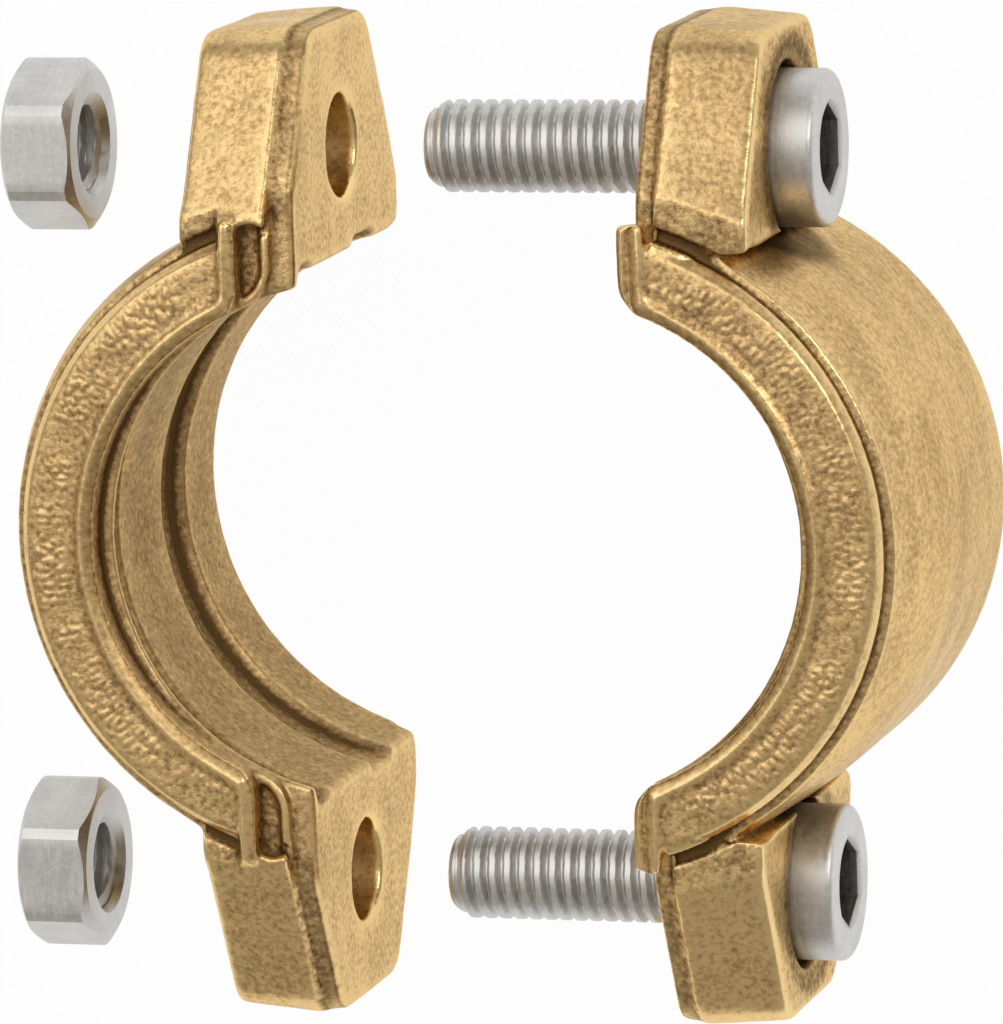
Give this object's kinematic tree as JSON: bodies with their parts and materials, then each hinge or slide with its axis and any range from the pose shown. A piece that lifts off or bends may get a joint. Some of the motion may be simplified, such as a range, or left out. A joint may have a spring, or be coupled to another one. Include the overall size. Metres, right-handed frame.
{
  "type": "two-screw split hose clamp",
  "caption": "Cast brass split clamp laid apart: two half shells with lugs, ribbed bore and front flange, socket screws and hexagon nuts.",
  "frame": {"origin": "centre of the layout's footprint, on the plane of the shells' back faces", "axes": "+Z along the bore towards the flanged front, +X along the screws from the nuts to the heads, +Y from the lower to the upper lugs"},
  "size_m": [0.0624, 0.0638, 0.027],
  "materials": {
    "cast_brass": "as pressed, satin with a fine grain",
    "stainless_steel": "satin"
  },
  "bodies": {
    "screw_side_shell": {"screw_side_shell": "cast_brass"},
    "nut_side_shell": {"nut_side_shell": "cast_brass"},
    "upper_screw": {"upper_screw": "stainless_steel"},
    "lower_screw": {"lower_screw": "stainless_steel"},
    "upper_nut": {"upper_nut": "stainless_steel"},
    "lower_nut": {"lower_nut": "stainless_steel"}
  },
  "joints": [
    {"name": "close_shells", "type": "slide", "parent": "screw_side_shell", "child": "nut_side_shell", "axis": [1, 0, 0], "range_m": [0, 0.0218]},
    {"name": "turn_upper_screw", "type": "hinge", "parent": "screw_side_shell", "child": "upper_screw", "pos_m": [0.01713, 0.02355, 0.0135], "axis": [1, 0, 0], "continuous": true},
    {"name": "turn_lower_screw", "type": "hinge", "parent": "screw_side_shell", "child": "lower_screw", "pos_m": [0.01713, -0.02355, 0.0135], "axis": [1, 0, 0], "continuous": true},
    {"name": "seat_upper_nut", "type": "slide", "parent": "nut_side_shell", "child": "upper_nut", "axis": [1, 0, 0], "range_m": [0, 0.0128]},
    {"name": "seat_lower_nut", "type": "slide", "parent": "nut_side_shell", "child": "lower_nut", "axis": [1, 0, 0], "range_m": [0, 0.0137]}
  ]
}
